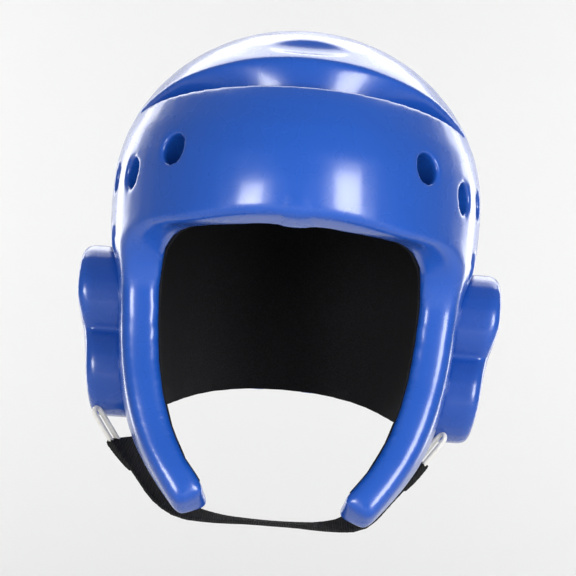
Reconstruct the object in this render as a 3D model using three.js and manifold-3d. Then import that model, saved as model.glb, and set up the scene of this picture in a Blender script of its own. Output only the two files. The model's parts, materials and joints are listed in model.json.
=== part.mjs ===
// Taekwondo headgear: a dipped foam shell with a thin lining, raised ear guards,
// and an elastic chin strap that hangs from two small rings.
// Millimetres. X runs across the head, the face looks along -Y, +Z is up.
// The origin is where the top of the head meets the lining.

import * as THREE from 'three';
import { mergeVertices } from 'three/addons/utils/BufferGeometryUtils.js';
import Module from 'manifold-3d';

const wasm = await Module();
wasm.setup();

// Hollow for the head
const hollowWidth = 152;
const hollowLength = 196;
const crownHeight = 65;
const sideDepth = 170;
const hollowHeight = crownHeight + sideDepth;

// Walls
const liningThickness = 2.2;
const pieceGap = 0.3;
const foamTop = 22.5;
const foamFront = 20.5;
const foamBack = 20.5;
const foamSide = 18.5;
const bottomMargin = 15;
const liningSetback = 2.4;

// Sections below the widest level. drop is a share of sideDepth, hollow of half the hollow's
// width, back of half its length, and side, front and rear are shares of the foam's thickness.
// fullness is the exponent of the section's rounded outline, 2 for an ellipse.
const wallSections = [
  { drop: 0.0, hollow: 1.0, back: 1.0, side: 1.0, front: 1.0, rear: 1.0, fullness: 2.0 },
  { drop: 0.118, hollow: 0.99, back: 1.0, side: 1.02, front: 0.97, rear: 1.0, fullness: 2.05 },
  { drop: 0.188, hollow: 0.955, back: 0.985, side: 1.04, front: 0.93, rear: 0.98, fullness: 2.2 },
  { drop: 0.25, hollow: 0.93, back: 0.965, side: 0.85, front: 0.9, rear: 0.96, fullness: 2.4 },
  { drop: 0.312, hollow: 0.922, back: 0.945, side: 0.78, front: 0.88, rear: 0.94, fullness: 2.5 },
  { drop: 0.5, hollow: 0.895, back: 0.86, side: 0.76, front: 0.85, rear: 0.9, fullness: 2.5 },
  { drop: 0.618, hollow: 0.86, back: 0.8, side: 0.74, front: 0.85, rear: 0.85, fullness: 2.5 },
  { drop: 0.735, hollow: 0.78, back: 0.74, side: 0.76, front: 0.85, rear: 0.8, fullness: 2.5 },
  { drop: 0.847, hollow: 0.65, back: 0.68, side: 0.77, front: 0.85, rear: 0.8, fullness: 2.5 },
  { drop: 0.918, hollow: 0.51, back: 0.62, side: 0.88, front: 0.85, rear: 0.8, fullness: 2.5 },
  { drop: 1.0, hollow: 0.33, back: 0.56, side: 1.0, front: 0.85, rear: 0.8, fullness: 2.5 },
  { drop: 1.1, hollow: 0.1, back: 0.5, side: 1.1, front: 0.85, rear: 0.8, fullness: 2.5 },
];

// Edge of the shell as seen from the side. reach is a share of half the hollow's length,
// negative towards the face, and drop is a share of the hollow's height.
const faceEdge = [
  { reach: -1.4, drop: 0.335 },
  { reach: -1.235, drop: 0.348 },
  { reach: -1.0, drop: 0.372 },
  { reach: -0.867, drop: 0.376 },
  { reach: -0.765, drop: 0.383 },
  { reach: -0.63, drop: 0.405 },
  { reach: -0.531, drop: 0.443 },
  { reach: -0.485, drop: 0.497 },
  { reach: -0.48, drop: 0.553 },
  { reach: -0.5, drop: 0.638 },
  { reach: -0.545, drop: 0.723 },
  { reach: -0.59, drop: 0.809 },
  { reach: -0.648, drop: 0.889 },
  { reach: -0.679, drop: 0.945 },
  { reach: -0.735, drop: 1.03 },
];
const napeEdge = [
  { reach: -0.62, drop: 1.03 },
  { reach: -0.53, drop: 0.985 },
  { reach: -0.43, drop: 0.93 },
  { reach: -0.31, drop: 0.868 },
  { reach: -0.19, drop: 0.818 },
  { reach: -0.04, drop: 0.785 },
  { reach: 0.18, drop: 0.765 },
  { reach: 0.48, drop: 0.745 },
  { reach: 0.78, drop: 0.705 },
  { reach: 1.0, drop: 0.665 },
  { reach: 1.4, drop: 0.635 },
];
const edgeSteps = 30;

// Arm ends, cut by one sloping plane on each side
const armEndAcross = 43.5;
const armEndFront = 60;
const armEndRise = 9.3;
const armEndDrop = hollowHeight - armEndRise;
const armEndFacing = new THREE.Vector3(0.45, -0.42, -0.79);

// Recess above the brow pad's rim
const rimDrop = 17;
const shoulderDrop = 0.5;
const recessEndDrop = 29;
const recessEndFront = 20;
const recessDepth = 17.5;
const recessBulge = 1.6;
const recessColumns = 36;
const recessSteps = 4;

// Short second recess behind the crescent
const dishFront = 70.5;
const dishWidth = 70;
const dishLength = 23;
const dishDepth = 3.4;

// Nib at the middle of the brow's lower edge
const nibWidth = 14;
const nibTopWidth = 8.5;
const nibLength = 17;
const nibThickness = 5;
const nibProud = 0.9;

// Vent holes: turn is the angle from the face, drop a share of crownHeight
const ventDiameter = 16;
const ventSides = 20;
const vents = [
  { turn: 36, drop: 0.785 },
  { turn: 56, drop: 0.95 },
  { turn: 73.5, drop: 0.95 },
  { turn: 71, drop: 1.46 },
];

// Ear guards: two round lobes joined at a waist
const guardLobeRadius = 26;
const guardLobeSpread = 38;
const guardCentreBack = 10;
const guardRise = 50.5;
const guardProud = 14;
const guardReach = hollowWidth / 2 + liningThickness + pieceGap + foamSide + guardProud;
const guardHeight = guardLobeSpread + 2 * guardLobeRadius;
const guardCentreDrop = hollowHeight - guardRise - guardHeight / 2;
const guardEdgeRound = 4;
const guardCrown = 0.6;
const guardSides = 40;
const hearingHoleDiameter = 14;
// drop is a share of the guard's height from its top, reach a share of guardReach
const guardFace = [
  { drop: 0.0, reach: 0.985 },
  { drop: 0.12, reach: 1.0 },
  { drop: 0.27, reach: 1.0 },
  { drop: 0.43, reach: 0.972 },
  { drop: 0.6, reach: 0.938 },
  { drop: 0.78, reach: 0.926 },
  { drop: 1.0, reach: 0.895 },
];

// Chin strap
const strapWidth = 22;
const strapThickness = 2;
const strapFold = 24;
const strapLayerGap = 0.3;
const strapFoldDrift = 2.8;
// One side from the ring to the chin. across is a share of the strap's span, back of half the
// hollow's length and drop of the hollow's height. sway is the share of strapSway at that place,
// and widthX, widthY and widthZ point across the webbing, away from its front edge.
const strapSpan = hollowWidth / 2 + pieceGap;
const strapSway = 5.2;
const strapRoute = [
  { across: 1.0, back: 0.059, drop: 0.838, sway: 1.0, widthX: 0.58, widthY: 0.8, widthZ: 0.15 },
  { across: 0.93, back: 0.027, drop: 0.872, sway: 0.9, widthX: 0.6, widthY: 0.78, widthZ: 0.05 },
  { across: 0.851, back: -0.03, drop: 0.9, sway: 0.8, widthX: 0.64, widthY: 0.76, widthZ: 0.0 },
  { across: 0.76, back: -0.099, drop: 0.934, sway: 0.8, widthX: 0.66, widthY: 0.74, widthZ: 0.0 },
  { across: 0.663, back: -0.182, drop: 0.966, sway: 0.7, widthX: 0.66, widthY: 0.74, widthZ: 0.06 },
  { across: 0.537, back: -0.276, drop: 0.989, sway: 0.4, widthX: 0.54, widthY: 0.82, widthZ: 0.17 },
  { across: 0.354, back: -0.345, drop: 0.997, sway: 0.2, widthX: 0.3, widthY: 0.94, widthZ: 0.12 },
  { across: 0.144, back: -0.376, drop: 0.9975, sway: 0.1, widthX: 0.1, widthY: 0.99, widthZ: 0.05 },
  { across: 0.0, back: -0.38, drop: 0.998, sway: 0.0, widthX: 0.0, widthY: 1.0, widthZ: 0.04 },
];
const strapSteps = 16;
const foldSteps = 5;

// Strap rings: each hangs from the lower outer corner of its ear guard into the strap's fold
const ringTube = 2.4;
const ringWidth = 5.2;
const ringLength = 19;
const ringSides = 8;
const ringArcSteps = 7;
const ringHoleGap = 0.3;
const ringFootInset = 5.2;
const ringFootDepth = 0.6;
const ringHangAcross = 20.7;
const ringHangBack = -4;
const ringHangRise = 2;

// Mesh fineness
const meshTolerance = 0.05;
const shellColumns = 60;
const shellCrownRows = 10;
const shellWallRows = 18;
const liningColumns = 36;
const liningCrownRows = 6;
const liningWallRows = 12;

const halfWidth = hollowWidth / 2;
const halfLength = hollowLength / 2;

// Value of one column of a table at a place between its rows, on a smooth curve
function tableValue(rows, place, column, at) {
  const last = rows.length - 1;
  if (at <= rows[0][place]) {
    return rows[0][column];
  }
  if (at >= rows[last][place]) {
    return rows[last][column];
  }
  const i = rows.findIndex((row) => row[place] > at) - 1;
  const slope = (a, b) => (rows[b][column] - rows[a][column]) / (rows[b][place] - rows[a][place]);
  const step = rows[i + 1][place] - rows[i][place];
  const here = slope(i, i + 1);
  const before = i > 0 ? slope(i - 1, i) : here;
  const after = i + 1 < last ? slope(i + 1, i + 2) : here;
  const startSlope = before * here > 0 ? 2 * before * here / (before + here) : 0;
  const endSlope = after * here > 0 ? 2 * after * here / (after + here) : 0;
  const t = (at - rows[i][place]) / step;
  const t2 = t * t;
  const t3 = t2 * t;
  return (2 * t3 - 3 * t2 + 1) * rows[i][column]
    + (t3 - 2 * t2 + t) * step * startSlope
    + (3 * t2 - 2 * t3) * rows[i + 1][column]
    + (t3 - t2) * step * endSlope;
}

// Offsets of a surface from the hollow: by the lining alone, or by the lining and the foam
function offsets(plain, foamShare) {
  return {
    top: plain + foamTop * foamShare,
    side: (share) => plain + foamSide * foamShare * share,
    front: (share) => plain + foamFront * foamShare * share,
    rear: (share) => plain + foamBack * foamShare * share,
  };
}

const hollowOffsets = offsets(0, 0);
const liningOffsets = offsets(liningThickness, 0);
const foamInnerOffsets = offsets(liningThickness + pieceGap, 0);
const foamOuterOffsets = offsets(liningThickness + pieceGap, 1);
const guardSeatOffsets = offsets(liningThickness + 2 * pieceGap, 1);

// Half sizes of a surface's level section at a height
function sectionAt(offset, z) {
  if (z > -crownHeight) {
    const rise = (z + crownHeight) / (crownHeight + offset.top);
    const shrink = Math.sqrt(Math.max(0, 1 - rise * rise));
    return {
      side: (halfWidth + offset.side(1)) * shrink,
      front: (halfLength + offset.front(1)) * shrink,
      rear: (halfLength + offset.rear(1)) * shrink,
      fullness: wallSections[0].fullness,
    };
  }
  const drop = (-crownHeight - z) / sideDepth;
  const value = (column) => tableValue(wallSections, 'drop', column, drop);
  return {
    side: halfWidth * value('hollow') + offset.side(value('side')),
    front: halfLength + offset.front(value('front')),
    rear: halfLength * value('back') + offset.rear(value('rear')),
    fullness: value('fullness'),
  };
}

// Point of a section's outline at an angle, 0 at the face and 90 degrees at +X
function sectionPoint(section, turn, z) {
  const power = 2 / section.fullness;
  const across = Math.sin(turn);
  const along = -Math.cos(turn);
  const x = Math.sign(across) * Math.abs(across) ** power * section.side;
  const length = along < 0 ? section.front : section.rear;
  const y = Math.sign(along) * Math.abs(along) ** power * length;
  return new THREE.Vector3(x, y, z);
}

// Point of a surface straight out from the middle in a compass direction
function surfacePoint(offset, turn, z) {
  const section = sectionAt(offset, z);
  const x = Math.sin(turn);
  const y = -Math.cos(turn);
  const length = y < 0 ? section.front : section.rear;
  const p = section.fullness;
  const reach = ((Math.abs(x) / section.side) ** p + (Math.abs(y) / length) ** p) ** (-1 / p);
  return new THREE.Vector3(x * reach, y * reach, z);
}

function surfaceNormal(offset, turn, z) {
  const small = 0.01;
  const here = surfacePoint(offset, turn, z);
  const along = surfacePoint(offset, turn + small, z).sub(here);
  const up = surfacePoint(offset, turn, z + small * halfWidth).sub(here);
  return along.cross(up).normalize();
}

// Closed mesh from rings of equally many points, each end closed by a fan
function ringMesh(rings, closeEnds = true) {
  const positions = [];
  const indices = [];
  const count = rings[0].length;
  rings.flat().forEach((p) => positions.push(p.x, p.y, p.z));
  for (let r = 0; r < rings.length - 1; r += 1) {
    for (let c = 0; c < count; c += 1) {
      const next = (c + 1) % count;
      const a = r * count + c;
      const b = r * count + next;
      const d = (r + 1) * count + c;
      const e = (r + 1) * count + next;
      indices.push(a, b, e, a, e, d);
    }
  }
  if (closeEnds) {
    [0, rings.length - 1].forEach((r) => {
      const centre = new THREE.Vector3();
      rings[r].forEach((p) => centre.add(p));
      centre.divideScalar(count);
      const tip = positions.length / 3;
      positions.push(centre.x, centre.y, centre.z);
      for (let c = 0; c < count; c += 1) {
        const a = r * count + c;
        const b = r * count + (c + 1) % count;
        if (r === 0) {
          indices.push(tip, b, a);
        } else {
          indices.push(tip, a, b);
        }
      }
    });
  }
  const geometry = new THREE.BufferGeometry();
  geometry.setAttribute('position', new THREE.Float32BufferAttribute(positions, 3));
  geometry.setIndex(indices);
  return geometry;
}

function signedVolume(geometry) {
  const p = geometry.getAttribute('position');
  const index = geometry.getIndex();
  const a = new THREE.Vector3();
  const b = new THREE.Vector3();
  const c = new THREE.Vector3();
  let volume = 0;
  for (let i = 0; i < index.count; i += 3) {
    a.fromBufferAttribute(p, index.getX(i));
    b.fromBufferAttribute(p, index.getX(i + 1));
    c.fromBufferAttribute(p, index.getX(i + 2));
    volume += a.dot(b.cross(c)) / 6;
  }
  return volume;
}

// Position-only, welded copy whose faces look outward
function welded(geometry) {
  const bare = new THREE.BufferGeometry();
  bare.setAttribute('position', geometry.getAttribute('position').clone());
  if (geometry.getIndex()) {
    bare.setIndex(geometry.getIndex().clone());
  }
  const joined = mergeVertices(bare, 1e-5);
  if (signedVolume(joined) < 0) {
    const index = joined.getIndex();
    for (let i = 0; i < index.count; i += 3) {
      const second = index.getX(i + 1);
      index.setX(i + 1, index.getX(i + 2));
      index.setX(i + 2, second);
    }
  }
  return joined;
}

function solid(geometry) {
  const joined = welded(geometry);
  return new wasm.Manifold(new wasm.Mesh({
    numProp: 3,
    vertProperties: Float32Array.from(joined.getAttribute('position').array),
    triVerts: Uint32Array.from(joined.getIndex().array),
  }));
}

function toGeometry(manifold) {
  const mesh = manifold.simplify(meshTolerance).getMesh();
  const geometry = new THREE.BufferGeometry();
  geometry.setAttribute('position', new THREE.Float32BufferAttribute(mesh.vertProperties, 3));
  geometry.setIndex(Array.from(mesh.triVerts));
  return geometry;
}

// Head-shaped solid out to a surface, closed below
function headSolid(offset, columns, crownRows, wallRows) {
  const rings = [];
  const lowest = -hollowHeight - bottomMargin;
  for (let r = 0; r <= wallRows; r += 1) {
    const z = lowest + (-crownHeight - lowest) * r / wallRows;
    rings.push(z);
  }
  for (let r = 1; r < crownRows; r += 1) {
    const lift = Math.sin(Math.PI / 2 * r / crownRows);
    rings.push(-crownHeight + (crownHeight + offset.top) * lift);
  }
  const outline = rings.map((z) => {
    const section = sectionAt(offset, z);
    return Array.from({ length: columns }, (_, c) => sectionPoint(section, 2 * Math.PI * c / columns, z));
  });
  const geometry = ringMesh(outline);
  const position = geometry.getAttribute('position');
  position.setXYZ(position.count - 1, 0, 0, offset.top);
  return solid(geometry);
}

// Everything the shell keeps, seen from the side, as one block right across the head
function sideBlock(setback) {
  const point = (row) => new THREE.Vector2(row.reach * halfLength, -row.drop * hollowHeight);
  const edge = (rows) => {
    const line = new THREE.SplineCurve(rows.map(point));
    return line.getPoints(edgeSteps).map((p, i) => {
      const along = line.getTangent(i / edgeSteps);
      return p.add(new THREE.Vector2(-along.y, along.x).multiplyScalar(setback));
    });
  };
  const face = edge(faceEdge);
  const nape = edge(napeEdge);
  const above = foamTop + hollowHeight;
  const outline = new THREE.Shape([
    ...face,
    ...nape,
    new THREE.Vector2(nape.at(-1).x, above),
    new THREE.Vector2(face[0].x, above),
  ]);
  const depth = 2 * hollowWidth;
  const geometry = new THREE.ExtrudeGeometry(outline, { depth, bevelEnabled: false, curveSegments: 1 });
  const turn = new THREE.Matrix4().makeBasis(
    new THREE.Vector3(0, 1, 0),
    new THREE.Vector3(0, 0, 1),
    new THREE.Vector3(1, 0, 0),
  );
  geometry.applyMatrix4(turn);
  geometry.translate(-depth / 2, 0, 0);
  return solid(geometry);
}

// Block that takes off everything beyond an arm's sloping end
function armEndCutter(side, setback) {
  const facing = armEndFacing.clone().normalize();
  facing.x *= -side;
  const size = hollowWidth;
  const geometry = new THREE.BoxGeometry(size, size, size);
  geometry.translate(0, 0, size / 2);
  const turn = new THREE.Quaternion().setFromUnitVectors(new THREE.Vector3(0, 0, 1), facing);
  geometry.applyQuaternion(turn);
  geometry.translate(side * armEndAcross, -armEndFront, -armEndDrop);
  geometry.translate(-facing.x * setback, -facing.y * setback, -facing.z * setback);
  const half = new THREE.BoxGeometry(size, 2 * size, 2 * size);
  half.translate(side * (size / 2 + pieceGap), 0, -armEndDrop);
  return solid(geometry).intersect(solid(half));
}

// Where a level line that slopes back meets the outer surface, at a compass angle
function slopedLevel(turn, frontDrop) {
  const outer = foamOuterOffsets;
  const height = crownHeight + outer.top;
  const length = halfLength + outer.front(1);
  const frontRise = (crownHeight - frontDrop) / height;
  const frontY = -length * Math.sqrt(1 - frontRise * frontRise);
  const slope = (frontDrop - recessEndDrop) / (-recessEndFront - frontY);
  let z = -frontDrop;
  for (let i = 0; i < 40; i += 1) {
    const y = surfacePoint(outer, turn, z).y;
    z = -frontDrop + slope * (y - frontY);
  }
  return { z, slope };
}

// Crescent that is taken out above the brow pad's rim
function recessCutter() {
  const outer = foamOuterOffsets;
  const endPoint = surfacePoint(outer, Math.PI / 2, -recessEndDrop);
  const endTurn = Math.atan2(endPoint.x * 0.97, recessEndFront);
  const full = rimDrop - shoulderDrop;
  const clear = recessDepth;
  const sections = [];
  for (let c = 0; c <= recessColumns; c += 1) {
    const turn = endTurn * (2 * c / recessColumns - 1);
    const low = slopedLevel(turn, rimDrop);
    const high = slopedLevel(turn, shoulderDrop);
    const lowPoint = surfacePoint(outer, turn, low.z);
    const highPoint = surfacePoint(outer, turn, high.z);
    const share = Math.min(1, Math.max(0.02, (high.z - low.z) / full));
    const depth = recessDepth * Math.min(1, share * 1.5) ** 0.8;
    const out = new THREE.Vector3(Math.sin(turn), -Math.cos(turn), 0);
    const lowOut = out.clone().setZ(out.y * low.slope);
    const inner = lowPoint.clone().addScaledVector(lowOut, -depth);
    const normal = surfaceNormal(outer, turn, high.z);
    const section = [lowPoint.clone().addScaledVector(lowOut, clear), inner];
    for (let s = 1; s < recessSteps; s += 1) {
      const t = s / recessSteps;
      const point = inner.clone().lerp(highPoint, t);
      section.push(point.addScaledVector(normal, recessBulge * share * Math.sin(Math.PI * t)));
    }
    section.push(highPoint);
    section.push(highPoint.clone().addScaledVector(normal, clear));
    sections.push(section);
  }
  return solid(ringMesh(sections));
}

// Shallow oval dish taken out of the crown
function dishCutter() {
  const outer = foamOuterOffsets;
  const height = crownHeight + outer.top;
  const length = halfLength + outer.front(1);
  const rise = height * Math.sqrt(1 - (dishFront / length) ** 2);
  const slope = dishFront / length ** 2 * height ** 2 / rise;
  const semi = 2.2 * dishDepth;
  const lift = semi - dishDepth;
  const widen = 1 / Math.sqrt(1 - (lift / semi) ** 2);
  const geometry = new THREE.SphereGeometry(1, 28, 12);
  geometry.scale(dishWidth / 2 * widen, dishLength / 2 * widen, semi);
  geometry.translate(0, 0, lift);
  geometry.rotateX(Math.atan(slope));
  geometry.translate(0, -dishFront, rise - crownHeight);
  return solid(geometry);
}

function ventCutter(turn, z, diameter, side) {
  const surface = surfacePoint(foamOuterOffsets, turn, z);
  const normal = surfaceNormal(foamOuterOffsets, turn, z);
  const reach = 3 * foamSide;
  const geometry = new THREE.CylinderGeometry(diameter / 2, diameter / 2, reach, ventSides);
  const turnTo = new THREE.Quaternion().setFromUnitVectors(new THREE.Vector3(0, 1, 0), normal);
  geometry.applyQuaternion(turnTo);
  geometry.translate(surface.x, surface.y, surface.z);
  if (side < 0) {
    geometry.scale(-1, 1, 1);
  }
  return solid(geometry);
}

// Nib left by the mould at the middle of the brow's lower edge
function nib() {
  const edge = (reach) => -hollowHeight * tableValue(faceEdge, 'reach', 'drop', reach);
  const frontReach = -1 - 0.9 * foamFront / halfLength;
  const rearReach = frontReach + nibLength / halfLength;
  const slope = Math.atan2(edge(rearReach) - edge(frontReach), (rearReach - frontReach) * halfLength);
  const outline = new THREE.Shape([
    new THREE.Vector2(-nibTopWidth / 2, 0),
    new THREE.Vector2(nibTopWidth / 2, 0),
    new THREE.Vector2(nibWidth / 2, nibLength),
    new THREE.Vector2(-nibWidth / 2, nibLength),
  ]);
  const geometry = new THREE.ExtrudeGeometry(outline, { depth: nibThickness, bevelEnabled: false });
  geometry.translate(0, 0, -nibProud);
  geometry.rotateX(slope);
  geometry.translate(0, frontReach * halfLength, edge(frontReach));
  return solid(geometry);
}

function foamShell(keep) {
  let shell = headSolid(foamOuterOffsets, shellColumns, shellCrownRows, shellWallRows);
  shell = shell.subtract(headSolid(foamInnerOffsets, liningColumns, liningCrownRows, liningWallRows));
  shell = shell.subtract(recessCutter());
  shell = shell.subtract(dishCutter());
  shell = shell.intersect(keep).add(nib());
  shell = shell.subtract(headSolid(foamInnerOffsets, liningColumns, liningCrownRows, liningWallRows));
  for (const side of [-1, 1]) {
    shell = shell.subtract(armEndCutter(side, 0));
    for (const vent of vents) {
      const turn = THREE.MathUtils.degToRad(vent.turn);
      shell = shell.subtract(ventCutter(turn, -vent.drop * crownHeight, ventDiameter, side));
    }
    shell = shell.subtract(hearingHole(side));
  }
  return shell;
}

function innerLining(keep) {
  let lining = headSolid(liningOffsets, liningColumns, liningCrownRows, liningWallRows);
  lining = lining.subtract(headSolid(hollowOffsets, liningColumns, liningCrownRows, liningWallRows));
  lining = lining.intersect(keep);
  for (const side of [-1, 1]) {
    lining = lining.subtract(armEndCutter(side, liningSetback));
  }
  return lining;
}

const guardTop = -guardCentreDrop + guardHeight / 2;

function hearingHole(side) {
  const geometry = new THREE.CylinderGeometry(
    hearingHoleDiameter / 2,
    hearingHoleDiameter / 2,
    hollowWidth,
    ventSides,
  );
  geometry.rotateZ(Math.PI / 2);
  geometry.translate(side * guardReach, guardCentreBack, -guardCentreDrop + guardLobeSpread / 2);
  return solid(geometry);
}

// Outline of the two lobes around the guard's middle, as seen from the side
function guardOutline(inset, shrink) {
  const radius = guardLobeRadius - inset;
  const offset = guardLobeSpread / 2;
  return Array.from({ length: guardSides }, (_, i) => {
    const turn = 2 * Math.PI * i / guardSides;
    const y = Math.cos(turn);
    const z = Math.sin(turn);
    const along = offset * Math.abs(z);
    const reach = along + Math.sqrt(Math.max(0, radius * radius - offset * offset + along * along));
    return new THREE.Vector2(y * reach * shrink, z * reach * shrink);
  });
}

function earGuard(side, seat, ringHole) {
  const faceReach = (z) => guardReach * tableValue(guardFace, 'drop', 'reach', (guardTop - z) / guardHeight);
  const layers = [
    { inset: 0, shrink: 1, below: null },
    { inset: 0, shrink: 1, below: guardEdgeRound },
    { inset: guardEdgeRound * 0.3, shrink: 1, below: guardEdgeRound * 0.3 },
    { inset: guardEdgeRound, shrink: 1, below: 0 },
    { inset: guardEdgeRound, shrink: 0.5, below: -guardCrown },
  ];
  const rings = layers.map((layer) => guardOutline(layer.inset, layer.shrink).map((p) => {
    const y = guardCentreBack + p.x;
    const z = -guardCentreDrop + p.y;
    const x = layer.below === null ? halfWidth * 0.7 : faceReach(z) - layer.below;
    return new THREE.Vector3(side * x, y, z);
  }));
  const block = solid(ringMesh(rings));
  return block.subtract(seat).subtract(hearingHole(side)).subtract(ringHole);
}

// Strap: its places from one fold to the chin, for the left side, or for the right side mirrored
function strapStations(side) {
  const point = (row) => new THREE.Vector3(
    -row.across * strapSpan + side * row.sway * strapSway,
    row.back * halfLength,
    -row.drop * hollowHeight,
  );
  const across = (row) => new THREE.Vector3(row.widthX, row.widthY, row.widthZ);
  const line = new THREE.CatmullRomCurve3(strapRoute.map(point), false, 'centripetal');
  const widths = new THREE.CatmullRomCurve3(strapRoute.map(across), false, 'centripetal');
  const length = line.getLength();
  return Array.from({ length: strapSteps + 1 }, (_, i) => {
    const t = i / strapSteps;
    const tangent = line.getTangentAt(t);
    const width = widths.getPoint(line.getUtoTmapping(t));
    width.addScaledVector(tangent, -width.dot(tangent)).normalize();
    const face = width.clone().cross(tangent).negate().normalize();
    return { centre: line.getPointAt(t), tangent, width, face, travelled: t * length };
  });
}

// One side's fold: the hidden layer up from its free end, which drifts in from the front edge,
// then over the top
function foldStations(half) {
  const apart = (strapThickness + strapLayerGap) / 2;
  const hidden = half.filter((s) => s.travelled <= strapFold).reverse();
  const stations = hidden.map((s) => ({
    centre: s.centre.clone().addScaledVector(s.face, -apart)
      .addScaledVector(s.width, strapFoldDrift * s.travelled / strapFold),
    width: s.width,
    face: s.face.clone().negate(),
  }));
  const top = half[0];
  for (let i = 1; i < foldSteps; i += 1) {
    const turn = Math.PI * i / foldSteps;
    const face = top.face.clone().multiplyScalar(-Math.cos(turn))
      .addScaledVector(top.tangent, -Math.sin(turn));
    stations.push({ centre: top.centre.clone().addScaledVector(face, apart), width: top.width, face });
  }
  return stations;
}

function strapSide(side) {
  const half = strapStations(side);
  const apart = (strapThickness + strapLayerGap) / 2;
  const main = half.map((s) => ({ ...s, centre: s.centre.clone().addScaledVector(s.face, apart) }));
  return [...foldStations(half), ...main];
}

function strapBand() {
  const mirror = (v) => v.clone().setX(-v.x);
  const right = strapSide(1).slice(0, -1).reverse().map((s) => ({
    centre: mirror(s.centre),
    width: mirror(s.width),
    face: mirror(s.face),
  }));
  const corners = [...strapSide(-1), ...right].map((s) => [
    [-1, -1], [1, -1], [1, 1], [-1, 1],
  ].map(([w, t]) => s.centre.clone()
    .addScaledVector(s.width, w * strapWidth / 2)
    .addScaledVector(s.face, t * strapThickness / 2)));
  return solid(ringMesh(corners));
}

function ringLoop(side, tube) {
  const radius = ringWidth / 2;
  const top = strapStations(side)[0];
  const foot = top.centre.clone()
    .addScaledVector(top.width, ringFootInset - strapWidth / 2)
    .addScaledVector(top.tangent, ringFootDepth);
  const hang = new THREE.Vector3(
    ringHangAcross - guardReach + side * strapSway,
    ringHangBack,
    ringHangRise + guardRise - hollowHeight,
  );
  const ringAlong = foot.clone().sub(hang).normalize();
  const ringAcross = top.width.clone().addScaledVector(ringAlong, -top.width.dot(ringAlong)).normalize();
  const head = foot.clone().addScaledVector(ringAlong, -ringLength);
  const centres = [];
  for (let i = 0; i <= ringArcSteps; i += 1) {
    const turn = Math.PI * i / ringArcSteps;
    centres.push({ at: foot, turn });
  }
  for (let i = 0; i <= ringArcSteps; i += 1) {
    const turn = Math.PI + Math.PI * i / ringArcSteps;
    centres.push({ at: head, turn });
  }
  const through = ringAlong.clone().cross(ringAcross);
  const rings = centres.map(({ at, turn }) => {
    const out = ringAcross.clone().multiplyScalar(Math.cos(turn)).addScaledVector(ringAlong, Math.sin(turn));
    const centre = at.clone().addScaledVector(out, radius);
    return Array.from({ length: ringSides }, (_, i) => {
      const angle = 2 * Math.PI * i / ringSides;
      return centre.clone()
        .addScaledVector(out, tube / 2 * Math.cos(angle))
        .addScaledVector(through, tube / 2 * Math.sin(angle));
    });
  });
  rings.push(rings[0]);
  const geometry = ringMesh(rings, false);
  if (side > 0) {
    geometry.scale(-1, 1, 1);
  }
  return solid(geometry);
}

const gloss = { color: 0x1f4fc4, roughness: 0.22, metalness: 0 };
const finishes = {
  foam: gloss,
  lining: { color: 0x0c0c0e, roughness: 0.9, metalness: 0 },
  webbing: { color: 0x141416, roughness: 0.85, metalness: 0 },
  ring: { color: 0xf2f2ee, roughness: 0.3, metalness: 0 },
};

const headgear = new THREE.Group();
headgear.name = 'taekwondo_headgear';

function place(name, manifold, finish) {
  const mesh = new THREE.Mesh(welded(toGeometry(manifold)), new THREE.MeshStandardMaterial(finish));
  mesh.name = name;
  headgear.add(mesh);
}

const keep = sideBlock(0);
const guardSeat = headSolid(guardSeatOffsets, shellColumns, shellCrownRows, shellWallRows);
place('foam_shell', foamShell(keep), finishes.foam);
place('inner_lining', innerLining(sideBlock(liningSetback)), finishes.lining);
let strap = strapBand();
for (const [name, side] of [['left', -1], ['right', 1]]) {
  const ringHole = ringLoop(side, ringTube + 2 * ringHoleGap);
  place(`ear_guard_${name}`, earGuard(side, guardSeat, ringHole), finishes.foam);
  place(`strap_ring_${name}`, ringLoop(side, ringTube), finishes.ring);
  strap = strap.subtract(ringHole);
}
place('chin_strap', strap, finishes.webbing);

export default headgear;
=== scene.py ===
"""Taekwondo headgear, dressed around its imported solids.

A gloss foam shell with two ear guards, a thin lining, and an elastic strap that hangs from two rings.
"""

import json
import math

import bpy
from mathutils import Matrix, Vector

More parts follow.
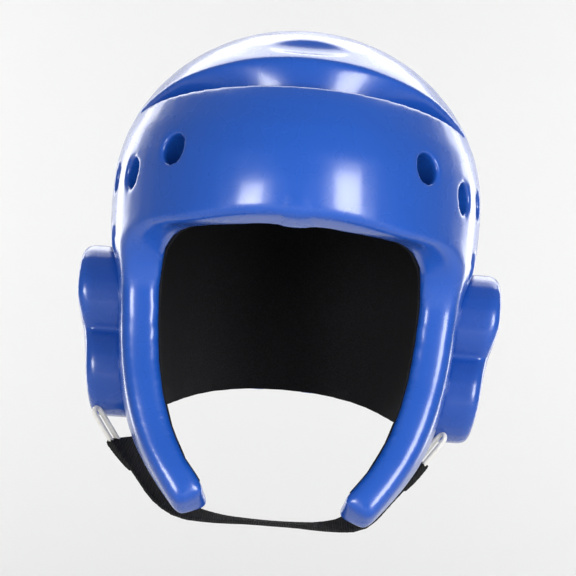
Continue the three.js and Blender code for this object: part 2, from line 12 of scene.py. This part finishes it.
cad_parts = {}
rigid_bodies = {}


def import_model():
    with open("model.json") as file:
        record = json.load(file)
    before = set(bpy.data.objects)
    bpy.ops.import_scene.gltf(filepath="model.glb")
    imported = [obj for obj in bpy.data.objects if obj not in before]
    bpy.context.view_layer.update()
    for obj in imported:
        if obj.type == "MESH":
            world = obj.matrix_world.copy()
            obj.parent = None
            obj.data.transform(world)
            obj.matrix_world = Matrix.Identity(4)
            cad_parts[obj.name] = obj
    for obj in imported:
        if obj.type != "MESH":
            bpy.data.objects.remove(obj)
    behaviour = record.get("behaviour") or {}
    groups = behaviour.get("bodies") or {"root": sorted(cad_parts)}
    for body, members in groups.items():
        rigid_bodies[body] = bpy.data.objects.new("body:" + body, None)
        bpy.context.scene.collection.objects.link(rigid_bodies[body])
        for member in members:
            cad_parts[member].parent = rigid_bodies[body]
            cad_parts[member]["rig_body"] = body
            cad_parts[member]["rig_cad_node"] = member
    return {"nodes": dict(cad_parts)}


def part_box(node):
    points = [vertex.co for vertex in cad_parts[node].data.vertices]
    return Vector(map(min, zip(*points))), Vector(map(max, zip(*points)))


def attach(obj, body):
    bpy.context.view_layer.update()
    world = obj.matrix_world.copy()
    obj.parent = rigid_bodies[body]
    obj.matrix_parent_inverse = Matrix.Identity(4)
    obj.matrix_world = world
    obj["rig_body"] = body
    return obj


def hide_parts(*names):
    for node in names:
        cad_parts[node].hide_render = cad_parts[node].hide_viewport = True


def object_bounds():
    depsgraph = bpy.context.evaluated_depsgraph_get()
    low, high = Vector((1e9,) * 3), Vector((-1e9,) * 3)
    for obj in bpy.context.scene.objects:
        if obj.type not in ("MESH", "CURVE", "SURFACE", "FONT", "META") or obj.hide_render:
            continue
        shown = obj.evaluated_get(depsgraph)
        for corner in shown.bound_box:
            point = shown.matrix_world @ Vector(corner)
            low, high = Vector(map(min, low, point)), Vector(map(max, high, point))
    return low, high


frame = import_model()
CAD_LOW, CAD_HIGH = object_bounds()

bl_info = {
    "name": "Taekwondo Headgear",
    "version": (1, 0, 0),
    "blender": (4, 5, 0),
    "location": "View3D > Sidebar > Headgear",
    "description": "Dresses the solids of a dipped-foam taekwondo headgear",
    "category": "Object",
}

BODY = "root"
SIDES = ("left", "right")
MERGE_DISTANCE = 2e-6
SMOOTH_FACTOR = 0.5

# Places on the shell, in metres, that keep their crispness while the rest is softened
RIM_FRONT = Vector((0.0, -0.1024, -0.017))
SHOULDER_FRONT = Vector((0.0, -0.0844, -0.0005))
RECESS_END = Vector((0.0, -0.020, -0.029))
DISH_MIDDLE = Vector((0.0, -0.0705, 0.008))
DISH_HALF = Vector((0.035, 0.0125, 0.012))
VENT_PLACES = (
    {"across": 0.0610, "front": 0.0840, "drop": 0.0510},
    {"across": 0.0848, "front": 0.0572, "drop": 0.0618},
    {"across": 0.0928, "front": 0.0275, "drop": 0.0618},
    {"across": 0.0900, "front": 0.0310, "drop": 0.0949},
)

# Sloping end of the right cheek arm: a point on it and the way it faces. The left one mirrors it.
ARM_END = Vector((0.0435, -0.060, -0.2257))
ARM_END_FACING = Vector((0.45, -0.42, -0.79)).normalized()

# Softness that each crisp place keeps, and how far around it that holds: in metres, and for the
# dish as a share of its half size
RIM_HELD = {"softness": 0.03, "band": 0.0012}
SHOULDER_HELD = {"softness": 0.12, "band": 0.001}
VENT_HELD = {"softness": 0.10, "band": 0.0085}
DISH_HELD = {"softness": 0.08, "band": 1.15}
DISH_FADE = 0.6

# Where the cheek arms begin, how gradually, and how much of the softening they are spared
ARM_TOP = -0.080
ARM_TOP_FADE = 0.025
ARM_REAR = -0.012
ARM_REAR_FADE = 0.015
ARM_SPARED = 0.15

# Moulding nib: a trapezoid that widens downwards, within the brow's lower bevel
NIB_REAR = -0.095
NIB_HIGHEST = -0.0725
NIB_LOWEST = -0.096
NIB_TOP = -0.0735
NIB_FLARE_DROP = 0.0125
NIB_TOP_HALF = 0.00425
NIB_FLARE = 0.00275
NIB_EDGE = 0.0014

# Creased and scuffed patches of the cheek arms, in metres. The core is the share of a patch's
# reach where its relief is full.
CREASES = (
    {"middle": (-0.0608, -0.0555, -0.1838), "reach": 0.0036, "depth": 0.0010},
    {"middle": (0.0584, -0.0560, -0.1855), "reach": 0.0030, "depth": 0.0010},
    {"middle": (0.0498, -0.0585, -0.1980), "reach": 0.0120, "depth": 0.0004},
)
CREASE_CORE = 0.2

# Lining, strap and rings. The rise share is how much of the strap's rise from the chin counts
# towards the length along it.
LINING_CREASE_ANGLE = math.radians(40.0)
LINING_SEAM_TOLERANCE = 1e-5
STRAP_RISE_SHARE = 0.8
RING_LEVELS = 2

# Lighter and darker tints within a material, as shares of its own colour
SKIN_TINT = 0.9
KNIT_TINT = 2.2
RIB_TINT = 2.6

# Stage: turn is from the face towards +X and rise above the level, both in degrees
AIM = Vector((-0.0011, 0.0, -0.110))
STAGE_WIDTH = 12.0
BACKDROP_BACK = 3.0
WORLD_BRIGHTNESS = 0.27
SOFTBOXES = {
    "top_box": {"turn": 0.0, "rise": 128.0, "distance": 1.6, "size": (2.0, 1.2), "brightness": 3.6},
    "right_box": {"turn": 34.0, "rise": 4.0, "distance": 1.2, "size": (0.40, 0.60), "brightness": 15.0},
    "left_box": {"turn": -30.0, "rise": -1.0, "distance": 1.2, "size": (0.32, 0.36), "brightness": 18.0},
}
SIDE_STRIP_TURN = 142.0
SIDE_STRIP = {"rise": 5.0, "distance": 1.3, "size": (0.3, 1.3), "brightness": 3.4}
BACKDROP_BOX = Vector((1.9, 1.3, 0.6))
BACKDROP_BOX_AIM = Vector((1.2, BACKDROP_BACK, -0.35))
BACKDROP_BOX_SIZE = (0.8, 1.6)
BACKDROP_BOX_BRIGHTNESS = 7.1
SENSOR_WIDTH = 36.0
NEAREST = 0.05
FARTHEST = 50.0


class HeadgearSizes(bpy.types.PropertyGroup):
    """Sizes and colours of the headgear's dressed pieces"""

    foam_colour: bpy.props.FloatVectorProperty(
        name="Foam colour",
        description="Colour of the dipped vinyl skin",
        subtype="COLOR",
        size=4,
        min=0.0,
        max=1.0,
        default=(0.0092, 0.079, 0.42, 1.0),
    )
    foam_roughness: bpy.props.FloatProperty(
        name="Foam roughness",
        description="How soft the skin's reflections are",
        subtype="FACTOR",
        min=0.0,
        max=1.0,
        default=0.27,
    )
    skin_grain: bpy.props.FloatProperty(
        name="Skin grain",
        description="Height of the faint unevenness of the dipped skin",
        subtype="DISTANCE",
        unit="LENGTH",
        default=0.00006,
    )
    shell_voxel: bpy.props.FloatProperty(
        name="Shell fineness",
        description="Size of the cells that the softened foam is built from",
        subtype="DISTANCE",
        unit="LENGTH",
        default=0.00095,
    )
    shell_faces: bpy.props.IntProperty(
        name="Shell faces",
        description="Triangles left on the softened shell",
        default=180000,
    )
    guard_voxel: bpy.props.FloatProperty(
        name="Ear guard fineness",
        description="Size of the cells that the ear guards are built from",
        subtype="DISTANCE",
        unit="LENGTH",
        default=0.0011,
    )
    shell_softening: bpy.props.IntProperty(
        name="Shell softening",
        description="Passes that round the shell's cut edges",
        default=120,
    )
    shell_settling: bpy.props.IntProperty(
        name="Shell settling",
        description="Passes that clean the crisp rim and the vent mouths",
        default=10,
    )
    arm_return: bpy.props.FloatProperty(
        name="Arm return",
        description="Fullness given back to the cheek arms after they are softened",
        subtype="DISTANCE",
        unit="LENGTH",
        default=0.0022,
    )
    nib_height: bpy.props.FloatProperty(
        name="Nib height",
        description="How far the moulding nib stands out of the brow's lower edge",
        subtype="DISTANCE",
        unit="LENGTH",
        default=0.0003,
    )
    guard_softening: bpy.props.IntProperty(
        name="Ear guard softening",
        description="Passes that round the ear guards' edges",
        default=13,
    )
    crisp_reach: bpy.props.FloatProperty(
        name="Crisp reach",
        description="How far the crispness of the rim and the vents spreads",
        subtype="DISTANCE",
        unit="LENGTH",
        default=0.0085,
    )
    lining_colour: bpy.props.FloatVectorProperty(
        name="Lining colour",
        description="Colour of the thin lining",
        subtype="COLOR",
        size=4,
        min=0.0,
        max=1.0,
        default=(0.006, 0.006, 0.007, 1.0),
    )
    lining_trim: bpy.props.FloatProperty(
        name="Lining trim",
        description="How far the lining stops short of the sloping arm ends",
        subtype="DISTANCE",
        unit="LENGTH",
        default=0.0055,
    )
    webbing_colour: bpy.props.FloatVectorProperty(
        name="Webbing colour",
        description="Colour of the elastic chin strap",
        subtype="COLOR",
        size=4,
        min=0.0,
        max=1.0,
        default=(0.010, 0.010, 0.0105, 1.0),
    )
    strap_voxel: bpy.props.FloatProperty(
        name="Strap fineness",
        description="Size of the cells that the strap is built from",
        subtype="DISTANCE",
        unit="LENGTH",
        default=0.0005,
    )
    strap_softening: bpy.props.IntProperty(
        name="Strap softening",
        description="Passes that round the strap's edges",
        default=6,
    )
    webbing_rib: bpy.props.FloatProperty(
        name="Webbing rib",
        description="Spacing of the ribs woven across the elastic",
        subtype="DISTANCE",
        unit="LENGTH",
        default=0.0012,
    )
    ring_colour: bpy.props.FloatVectorProperty(
        name="Ring colour",
        description="Colour of the milky plastic rings",
        subtype="COLOR",
        size=4,
        min=0.0,
        max=1.0,
        default=(0.86, 0.85, 0.82, 1.0),
    )
    ring_return: bpy.props.FloatProperty(
        name="Ring return",
        description="Thickness given back to the rings after they are rounded",
        subtype="DISTANCE",
        unit="LENGTH",
        default=0.00022,
    )
    floor_colour: bpy.props.FloatVectorProperty(
        name="Floor colour",
        description="Colour of the plain floor",
        subtype="COLOR",
        size=4,
        min=0.0,
        max=1.0,
        default=(0.6, 0.6, 0.6, 1.0),
    )
    backdrop_colour: bpy.props.FloatVectorProperty(
        name="Backdrop colour",
        description="Colour of the plain backdrop",
        subtype="COLOR",
        size=4,
        min=0.0,
        max=1.0,
        default=(0.9, 0.9, 0.9, 1.0),
    )
    floor_drop: bpy.props.FloatProperty(
        name="Floor drop",
        description="How far the floor lies under the headgear",
        subtype="DISTANCE",
        unit="LENGTH",
        default=0.16,
    )
    camera_distance: bpy.props.FloatProperty(
        name="Camera distance",
        description="From the camera to the middle of the headgear",
        subtype="DISTANCE",
        unit="LENGTH",
        default=1.5,
    )
    camera_lens: bpy.props.FloatProperty(
        name="Camera lens",
        description="Focal length in millimetres",
        default=178.1,
    )
    camera_rise: bpy.props.FloatProperty(
        name="Camera elevation",
        description="Angle of the camera above the level of its aim",
        subtype="ANGLE",
        unit="ROTATION",
        default=math.radians(-4.0),
    )
    camera_roll: bpy.props.FloatProperty(
        name="Camera roll",
        description="Tilt of the camera about its own line of sight",
        subtype="ANGLE",
        unit="ROTATION",
        default=math.radians(4.5),
    )


def sizes():
    """The sizes and colours that the panel shows."""
    return bpy.context.scene.headgear_sizes


def smoothstep(value):
    """Smooth rise from 0 to 1."""
    t = min(1.0, max(0.0, value))
    return t * t * (3.0 - 2.0 * t)


def make_active(piece):
    """Leaves one piece selected and active."""
    bpy.ops.object.select_all(action="DESELECT")
    piece.hide_set(False)
    piece.select_set(True)
    bpy.context.view_layer.objects.active = piece


def copy_of(node, name):
    """Merged copy of a solid, under its own name."""
    source = frame["nodes"][node]
    piece = source.copy()
    piece.data = source.data.copy()
    piece.name = name
    piece.data.name = name
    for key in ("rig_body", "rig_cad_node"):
        if key in piece:
            del piece[key]
    piece.parent = None
    bpy.context.scene.collection.objects.link(piece)
    make_active(piece)
    bpy.ops.object.mode_set(mode="EDIT")
    bpy.ops.mesh.select_all(action="SELECT")
    bpy.ops.mesh.remove_doubles(threshold=MERGE_DISTANCE)
    bpy.ops.object.mode_set(mode="OBJECT")
    piece.data.materials.clear()
    return piece


def apply_modifier(piece, kind, name, **settings):
    """Adds one modifier, sets it and applies it."""
    make_active(piece)
    bpy.ops.object.modifier_add(type=kind)
    modifier = piece.modifiers[-1]
    modifier.name = name
    for key, value in settings.items():
        setattr(modifier, key, value)
    bpy.ops.object.modifier_apply(modifier=name)


def smooth(piece, name, passes, **settings):
    """Rounds a piece by a number of smoothing passes."""
    apply_modifier(piece, "SMOOTH", name, factor=SMOOTH_FACTOR, iterations=passes, **settings)


def remesh(piece, cell):
    """Rebuilds a piece from even cells, so that it can be smoothed."""
    apply_modifier(piece, "REMESH", "cells", mode="VOXEL", voxel_size=cell)


def swell(piece, name, amount, **settings):
    """Moves the skin of a piece outwards."""
    apply_modifier(piece, "DISPLACE", name, strength=amount, mid_level=0.0, **settings)


def weigh(piece, group, weight):
    """Vertex group whose weight is a function of the place."""
    make_active(piece)
    bpy.ops.object.vertex_group_add()
    made = piece.vertex_groups[-1]
    made.name = group
    levels = {}
    for vertex in piece.data.vertices:
        level = round(weight(vertex.co), 2)
        levels.setdefault(level, []).append(vertex.index)
    for level, indices in levels.items():
        made.add(indices, level, "REPLACE")


def dress(piece, node):
    """Hands a finished piece to the frame in place of its solid."""
    make_active(piece)
    bpy.ops.object.shade_smooth()
    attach(piece, BODY)
    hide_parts(node)


def principled(name):
    """New material, its node tree and its shader."""
    material = bpy.data.materials.new(name)
    material.use_nodes = True
    tree = material.node_tree
    shader = tree.nodes["Principled BSDF"]
    return material, tree, shader


def noise(tree, source, scale, detail):
    """Cloudy pattern over a place or attribute."""
    node = tree.nodes.new("ShaderNodeTexNoise")
    node.inputs["Scale"].default_value = scale
    node.inputs["Detail"].default_value = detail
    tree.links.new(source, node.inputs["Vector"])
    return node


def bump(tree, height, distance, strength, below=None):
    """Relief from a height, laid over the relief below it if there is one."""
    node = tree.nodes.new("ShaderNodeBump")
    node.inputs["Distance"].default_value = distance
    node.inputs["Strength"].default_value = strength
    tree.links.new(height, node.inputs["Height"])
    if below is not None:
        tree.links.new(below, node.inputs["Normal"])
    return node.outputs["Normal"]


def ramp(tree, factor, low, high):
    """Colour ramp between two (place, colour) stops."""
    node = tree.nodes.new("ShaderNodeValToRGB")
    for stop, (place, colour) in zip(node.color_ramp.elements, (low, high)):
        stop.position = place
        stop.color = colour
    tree.links.new(factor, node.inputs["Fac"])
    return node.outputs["Color"]


def tinted(colour, share):
    """The same colour, lighter or darker."""
    return tuple(share * c for c in colour[:3]) + (1.0,)


def creases(tree, place, below):
    """Small crumpled patches where the skin of the cheek arms is creased or scuffed."""
    normal = below
    crumple = noise(tree, place, scale=420.0, detail=3.0)
    for crease in CREASES:
        away = tree.nodes.new("ShaderNodeVectorMath")
        away.operation = "DISTANCE"
        away.inputs[1].default_value = crease["middle"]
        tree.links.new(place, away.inputs[0])
        fade = tree.nodes.new("ShaderNodeMapRange")
        fade.interpolation_type = "SMOOTHSTEP"
        fade.inputs["From Min"].default_value = crease["reach"]
        fade.inputs["From Max"].default_value = CREASE_CORE * crease["reach"]
        tree.links.new(away.outputs["Value"], fade.inputs["Value"])
        height = tree.nodes.new("ShaderNodeMath")
        height.operation = "MULTIPLY"
        tree.links.new(fade.outputs["Result"], height.inputs[0])
        tree.links.new(crumple.outputs["Fac"], height.inputs[1])
        normal = bump(tree, height.outputs[0], crease["depth"], strength=1.0, below=normal)
    return normal


def vinyl_material():
    """Gloss vinyl skin with faint unevenness and small changes of gloss and colour."""
    size = sizes()
    material, tree, shader = principled("gloss_vinyl")
    place = tree.nodes.new("ShaderNodeTexCoord").outputs["Object"]
    broad = noise(tree, place, scale=14.0, detail=3.0)
    base = tuple(size.foam_colour)
    darker = tinted(base, SKIN_TINT)
    shade = ramp(tree, broad.outputs["Fac"], (0.1, darker), (0.9, base))
    tree.links.new(shade, shader.inputs["Base Color"])
    cloud = noise(tree, place, scale=60.0, detail=2.0)
    low = size.foam_roughness - 0.03
    high = size.foam_roughness + 0.04
    glossy = (0.1, (low, low, low, 1.0))
    duller = (0.9, (high, high, high, 1.0))
    gloss = ramp(tree, cloud.outputs["Fac"], glossy, duller)
    tree.links.new(gloss, shader.inputs["Roughness"])
    shader.inputs["Coat Weight"].default_value = 0.35
    shader.inputs["Coat Roughness"].default_value = 0.13
    wavy = noise(tree, place, scale=90.0, detail=2.0)
    soft = bump(tree, wavy.outputs["Fac"], distance=2.5 * size.skin_grain, strength=0.5)
    tree.links.new(creases(tree, place, soft), shader.inputs["Normal"])
    return material


def lining_material():
    """Thin matt cloth with a fine knit."""
    material, tree, shader = principled("lining_cloth")
    place = tree.nodes.new("ShaderNodeTexCoord").outputs["Object"]
    knit = noise(tree, place, scale=1400.0, detail=2.0)
    base = tuple(sizes().lining_colour)
    lighter = tinted(base, KNIT_TINT)
    shade = ramp(tree, knit.outputs["Fac"], (0.35, base), (0.7, lighter))
    tree.links.new(shade, shader.inputs["Base Color"])
    shader.inputs["Roughness"].default_value = 0.92
    shader.inputs["Specular IOR Level"].default_value = 0.2
    relief = bump(tree, knit.outputs["Fac"], distance=0.0002, strength=0.6)
    tree.links.new(relief, shader.inputs["Normal"])
    return material


def webbing_material():
    """Black elastic with ribs woven across it and fine cords along it."""
    size = sizes()
    material, tree, shader = principled("elastic_webbing")
    across = tree.nodes.new("ShaderNodeAttribute")
    across.attribute_name = "weave"
    split = tree.nodes.new("ShaderNodeSeparateXYZ")
    tree.links.new(across.outputs["Vector"], split.inputs["Vector"])
    waves = []
    for axis, spacing in (("X", size.webbing_rib), ("Y", 1.5 * size.webbing_rib)):
        turn = tree.nodes.new("ShaderNodeMath")
        turn.operation = "MULTIPLY"
        turn.inputs[1].default_value = 2.0 * math.pi / spacing
        tree.links.new(split.outputs[axis], turn.inputs[0])
        wave = tree.nodes.new("ShaderNodeMath")
        wave.operation = "SINE"
        tree.links.new(turn.outputs[0], wave.inputs[0])
        waves.append(wave.outputs[0])
    woven = tree.nodes.new("ShaderNodeMath")
    woven.operation = "MULTIPLY_ADD"
    woven.inputs[1].default_value = 0.5
    tree.links.new(waves[1], woven.inputs[0])
    tree.links.new(waves[0], woven.inputs[2])
    base = tuple(size.webbing_colour)
    lighter = tinted(base, RIB_TINT)
    shade = ramp(tree, woven.outputs[0], (0.1, base), (1.0, lighter))
    tree.links.new(shade, shader.inputs["Base Color"])
    shader.inputs["Roughness"].default_value = 0.85
    shader.inputs["Specular IOR Level"].default_value = 0.2
    relief = bump(tree, woven.outputs[0], distance=0.00025, strength=0.8)
    tree.links.new(relief, shader.inputs["Normal"])
    return material


def ring_material():
    """Milky plastic that lets some light through."""
    size = sizes()
    material, tree, shader = principled("milky_plastic")
    place = tree.nodes.new("ShaderNodeTexCoord").outputs["Object"]
    cloud = noise(tree, place, scale=160.0, detail=2.0)
    base = tuple(size.ring_colour)
    warmer = (base[0] * 0.93, base[1] * 0.91, base[2] * 0.86, 1.0)
    shade = ramp(tree, cloud.outputs["Fac"], (0.4, warmer), (0.65, base))
    tree.links.new(shade, shader.inputs["Base Color"])
    shader.inputs["Roughness"].default_value = 0.25
    shader.inputs["Subsurface Weight"].default_value = 0.4
    shader.inputs["Subsurface Radius"].default_value = (0.002, 0.002, 0.002)
    shader.inputs["Subsurface Scale"].default_value = 1.0
    relief = bump(tree, cloud.outputs["Fac"], distance=0.0001, strength=0.3)
    tree.links.new(relief, shader.inputs["Normal"])
    return material


def off_line(place, front):
    """Distance from the level line that slopes from the front of the recess to its end."""
    slope = (RECESS_END.z - front.z) / (RECESS_END.y - front.y)
    across = abs(place.z - front.z - slope * (place.y - front.y))
    past_end = max(0.0, place.y - RECESS_END.y)
    return math.hypot(across, past_end)


def off_vent(place):
    """Distance from the axis of the nearest vent."""
    nearest = 1.0
    for vent in VENT_PLACES:
        middle = Vector((math.copysign(vent["across"], place.x), -vent["front"], -vent["drop"]))
        outward = Vector((middle.x, middle.y, 0.0)).normalized()
        away = place - middle
        nearest = min(nearest, (away - outward * away.dot(outward)).length)
    return nearest


def off_dish(place):
    """Distance from the short recess, as a share of its half size."""
    away = place - DISH_MIDDLE
    return math.hypot(away.x / DISH_HALF.x, away.y / DISH_HALF.y, away.z / DISH_HALF.z)


def arm_share(place):
    """1 on the cheek arms and 0 on the rest of the shell."""
    below = smoothstep((ARM_TOP - place.z) / ARM_TOP_FADE)
    in_front = smoothstep((ARM_REAR - place.y) / ARM_REAR_FADE)
    return below * in_front


def held_softness(off, held, fade):
    """Softness at a distance from a crisp place, which grows over the fade."""
    return held["softness"] + smoothstep((off - held["band"]) / fade)


def shell_softness(place):
    """How much a place is softened: little at the rim, the recesses and the vents."""
    reach = sizes().crisp_reach
    return min(
        1.0 - ARM_SPARED * arm_share(place),
        held_softness(off_line(place, RIM_FRONT), RIM_HELD, reach),
        held_softness(off_line(place, SHOULDER_FRONT), SHOULDER_HELD, reach),
        held_softness(off_vent(place), VENT_HELD, reach),
        held_softness(off_dish(place), DISH_HELD, DISH_FADE),
    )


def nib_share(place):
    """1 on the trapezoid nib over the middle of the brow's lower edge."""
    if place.y > NIB_REAR or not NIB_LOWEST < place.z < NIB_HIGHEST:
        return 0.0
    down = min(1.0, max(0.0, (NIB_TOP - place.z) / NIB_FLARE_DROP))
    half = NIB_TOP_HALF + NIB_FLARE * down
    inside = min(half - abs(place.x), NIB_TOP - place.z)
    return smoothstep(0.5 + inside / NIB_EDGE)


class HEADGEAR_OT_shell(bpy.types.Operator):
    """Soft foam shell with a crisp brow rim and rounded cut edges"""

    bl_idname = "headgear.shell"
    bl_label = "Foam Shell"

    def execute(self, context):
        size = sizes()
        piece = copy_of("foam_shell", "shell_skin")
        remesh(piece, size.shell_voxel)
        smooth(piece, "settling", size.shell_settling)
        weigh(piece, "soft", shell_softness)
        smooth(piece, "softening", size.shell_softening, vertex_group="soft")
        weigh(piece, "arms", arm_share)
        swell(piece, "fullness", size.arm_return, vertex_group="arms")
        faces = sum(len(face.vertices) - 2 for face in piece.data.polygons)
        apply_modifier(piece, "DECIMATE", "trim", ratio=min(1.0, size.shell_faces / faces))
        weigh(piece, "nib", nib_share)
        swell(piece, "nib", size.nib_height, vertex_group="nib")
        piece.data.materials.append(vinyl_material())
        dress(piece, "foam_shell")
        return {"FINISHED"}


class HEADGEAR_OT_ear_guards(bpy.types.Operator):
    """Two raised pads over the ears, each of two joined lobes"""

    bl_idname = "headgear.ear_guards"
    bl_label = "Ear Guards"

    def execute(self, context):
        size = sizes()
        vinyl = bpy.data.materials["gloss_vinyl"]
        for side in SIDES:
            node = f"ear_guard_{side}"
            piece = copy_of(node, f"guard_pad_{side}")
            remesh(piece, size.guard_voxel)
            smooth(piece, "softening", size.guard_softening)
            piece.data.materials.append(vinyl)
            dress(piece, node)
        return {"FINISHED"}


def trim_arm_ends(piece):
    """Takes the lining back a little from the two sloping arm ends."""
    for side in (-1.0, 1.0):
        facing = Vector((-side * ARM_END_FACING.x, ARM_END_FACING.y, ARM_END_FACING.z))
        corner = Vector((side * ARM_END.x, ARM_END.y, ARM_END.z))
        make_active(piece)
        bpy.ops.object.mode_set(mode="EDIT")
        bpy.ops.mesh.select_mode(type="VERT")
        bpy.ops.mesh.select_all(action="DESELECT")
        bpy.ops.object.mode_set(mode="OBJECT")
        for vertex in piece.data.vertices:
            vertex.select = vertex.co.x * side > -LINING_SEAM_TOLERANCE
        bpy.ops.object.mode_set(mode="EDIT")
        bpy.ops.mesh.bisect(
            plane_co=corner - sizes().lining_trim * facing,
            plane_no=facing,
            use_fill=True,
            clear_outer=True,
        )
        bpy.ops.object.mode_set(mode="OBJECT")


class HEADGEAR_OT_lining(bpy.types.Operator):
    """Thin lining inside the foam shell"""

    bl_idname = "headgear.lining"
    bl_label = "Lining"

    def execute(self, context):
        piece = copy_of("inner_lining", "lining_cloth")
        trim_arm_ends(piece)
        piece.data.materials.append(lining_material())
        dress(piece, "inner_lining")
        make_active(piece)
        bpy.ops.object.shade_smooth_by_angle(angle=LINING_CREASE_ANGLE)
        return {"FINISHED"}


def weave_attribute(piece):
    """Stores the distance along and across the strap at each point of the mesh."""
    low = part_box("chin_strap")[0]
    weave = piece.data.attributes.new("weave", "FLOAT_VECTOR", "POINT")
    chin = Vector((0.0, low.y, low.z))
    for vertex, value in zip(piece.data.vertices, weave.data):
        rise = STRAP_RISE_SHARE * (vertex.co.z - chin.z)
        along = math.copysign(math.hypot(vertex.co.x, rise), vertex.co.x)
        value.vector = (along, vertex.co.y, 0.0)


class HEADGEAR_OT_strap(bpy.types.Operator):
    """Elastic chin strap with folded ends"""

    bl_idname = "headgear.strap"
    bl_label = "Chin Strap"

    def execute(self, context):
        size = sizes()
        piece = copy_of("chin_strap", "strap_webbing")
        remesh(piece, size.strap_voxel)
        smooth(piece, "softening", size.strap_softening)
        weave_attribute(piece)
        piece.data.materials.append(webbing_material())
        dress(piece, "chin_strap")
        return {"FINISHED"}


class HEADGEAR_OT_rings(bpy.types.Operator):
    """Milky plastic rings that hold the strap"""

    bl_idname = "headgear.rings"
    bl_label = "Strap Rings"

    def execute(self, context):
        size = sizes()
        plastic = ring_material()
        for side in SIDES:
            node = f"strap_ring_{side}"
            piece = copy_of(node, f"ring_link_{side}")
            apply_modifier(piece, "SUBSURF", "rounding", levels=RING_LEVELS, render_levels=RING_LEVELS)
            swell(piece, "fullness", size.ring_return)
            piece.data.materials.append(plastic)
            dress(piece, node)
        return {"FINISHED"}


def stage_material(name, colour):
    """Plain matt surface."""
    material, _, shader = principled(name)
    shader.inputs["Base Color"].default_value = colour
    shader.inputs["Roughness"].default_value = 1.0
    shader.inputs["Specular IOR Level"].default_value = 0.0
    return material


def add_plane(name, place, turn, material):
    """Wide plane that belongs to the stage."""
    bpy.ops.object.select_all(action="DESELECT")
    bpy.ops.mesh.primitive_plane_add(size=STAGE_WIDTH, location=place, rotation=turn)
    plane = bpy.context.active_object
    plane.name = name
    plane.data.materials.append(material)


def add_lamp(name, place, aim, size, brightness):
    """Area light that looks at a point."""
    bpy.ops.object.light_add(type="AREA", location=place)
    lamp = bpy.context.active_object
    lamp.name = name
    lamp.data.shape = "RECTANGLE"
    lamp.data.size = size[0]
    lamp.data.size_y = size[1]
    lamp.data.energy = brightness * math.pi * size[0] * size[1]
    lamp.rotation_euler = (aim - place).to_track_quat("-Z", "Y").to_euler()


def add_softbox(name, turn, rise, distance, size, brightness):
    """Softbox around the headgear, which looks at the middle of the picture."""
    level = math.cos(math.radians(rise))
    across = level * math.sin(math.radians(turn))
    back = -level * math.cos(math.radians(turn))
    place = AIM + distance * Vector((across, back, math.sin(math.radians(rise))))
    add_lamp(name, place, AIM, size, brightness)


def add_camera():
    """Camera in front of the face, a little below it and rolled."""
    size = sizes()
    rise = size.camera_rise
    back = Vector((0.0, -math.cos(rise), math.sin(rise)))
    place = AIM + back * size.camera_distance
    bpy.ops.object.camera_add(location=place)
    camera = bpy.context.active_object
    camera.name = "camera"
    level = (-back).to_track_quat("-Z", "Y").to_matrix()
    camera.rotation_euler = (level @ Matrix.Rotation(size.camera_roll, 3, "Z")).to_euler()
    camera.data.lens = size.camera_lens
    camera.data.sensor_width = SENSOR_WIDTH
    camera.data.clip_start = NEAREST
    camera.data.clip_end = FARTHEST
    bpy.context.scene.camera = camera


class HEADGEAR_OT_stage(bpy.types.Operator):
    """Plain pale floor and backdrop, soft lights and the camera"""

    bl_idname = "headgear.stage"
    bl_label = "Stage"

    def execute(self, context):
        size = sizes()
        pale = stage_material("floor_pale", size.floor_colour)
        white = stage_material("backdrop_white", size.backdrop_colour)
        floor = CAD_LOW.z - size.floor_drop
        add_plane("floor", (0.0, 0.0, floor), (0.0, 0.0, 0.0), pale)
        add_plane("backdrop", (0.0, BACKDROP_BACK, 0.0), (math.radians(90.0), 0.0, 0.0), white)
        world = bpy.data.worlds.new("studio")
        world.use_nodes = True
        sky = world.node_tree.nodes["Background"]
        sky.inputs["Color"].default_value = (1.0, 1.0, 1.0, 1.0)
        sky.inputs["Strength"].default_value = WORLD_BRIGHTNESS
        context.scene.world = world
        for name, box in SOFTBOXES.items():
            add_softbox(name, **box)
        for side in (-1.0, 1.0):
            add_softbox("side_strip", turn=side * SIDE_STRIP_TURN, **SIDE_STRIP)
            across = Vector((side, 1.0, 1.0))
            place = BACKDROP_BOX * across
            wall = BACKDROP_BOX_AIM * across
            add_lamp("backdrop_box", place, wall, BACKDROP_BOX_SIZE, BACKDROP_BOX_BRIGHTNESS)
        add_camera()
        context.scene.view_settings.view_transform = "Standard"
        return {"FINISHED"}


OPERATORS = (
    HEADGEAR_OT_shell,
    HEADGEAR_OT_ear_guards,
    HEADGEAR_OT_lining,
    HEADGEAR_OT_strap,
    HEADGEAR_OT_rings,
    HEADGEAR_OT_stage,
)


class HEADGEAR_PT_panel(bpy.types.Panel):
    """Lists the headgear's sizes and the steps that build it"""

    bl_label = "Headgear"
    bl_idname = "HEADGEAR_PT_panel"
    bl_space_type = "VIEW_3D"
    bl_region_type = "UI"
    bl_category = "Headgear"

    def draw(self, context):
        column = self.layout.column()
        for name in HeadgearSizes.__annotations__:
            column.prop(context.scene.headgear_sizes, name)
        for operator in OPERATORS:
            column.operator(operator.bl_idname)


CLASSES = (HeadgearSizes, *OPERATORS, HEADGEAR_PT_panel)


def register():
    for cls in CLASSES:
        bpy.utils.register_class(cls)
    bpy.types.Scene.headgear_sizes = bpy.props.PointerProperty(type=HeadgearSizes)


def unregister():
    del bpy.types.Scene.headgear_sizes
    for cls in reversed(CLASSES):
        bpy.utils.unregister_class(cls)


def main():
    register()
    bpy.ops.headgear.shell()
    bpy.ops.headgear.ear_guards()
    bpy.ops.headgear.lining()
    bpy.ops.headgear.strap()
    bpy.ops.headgear.rings()
    bpy.ops.headgear.stage()


if __name__ == "__main__":
    main()
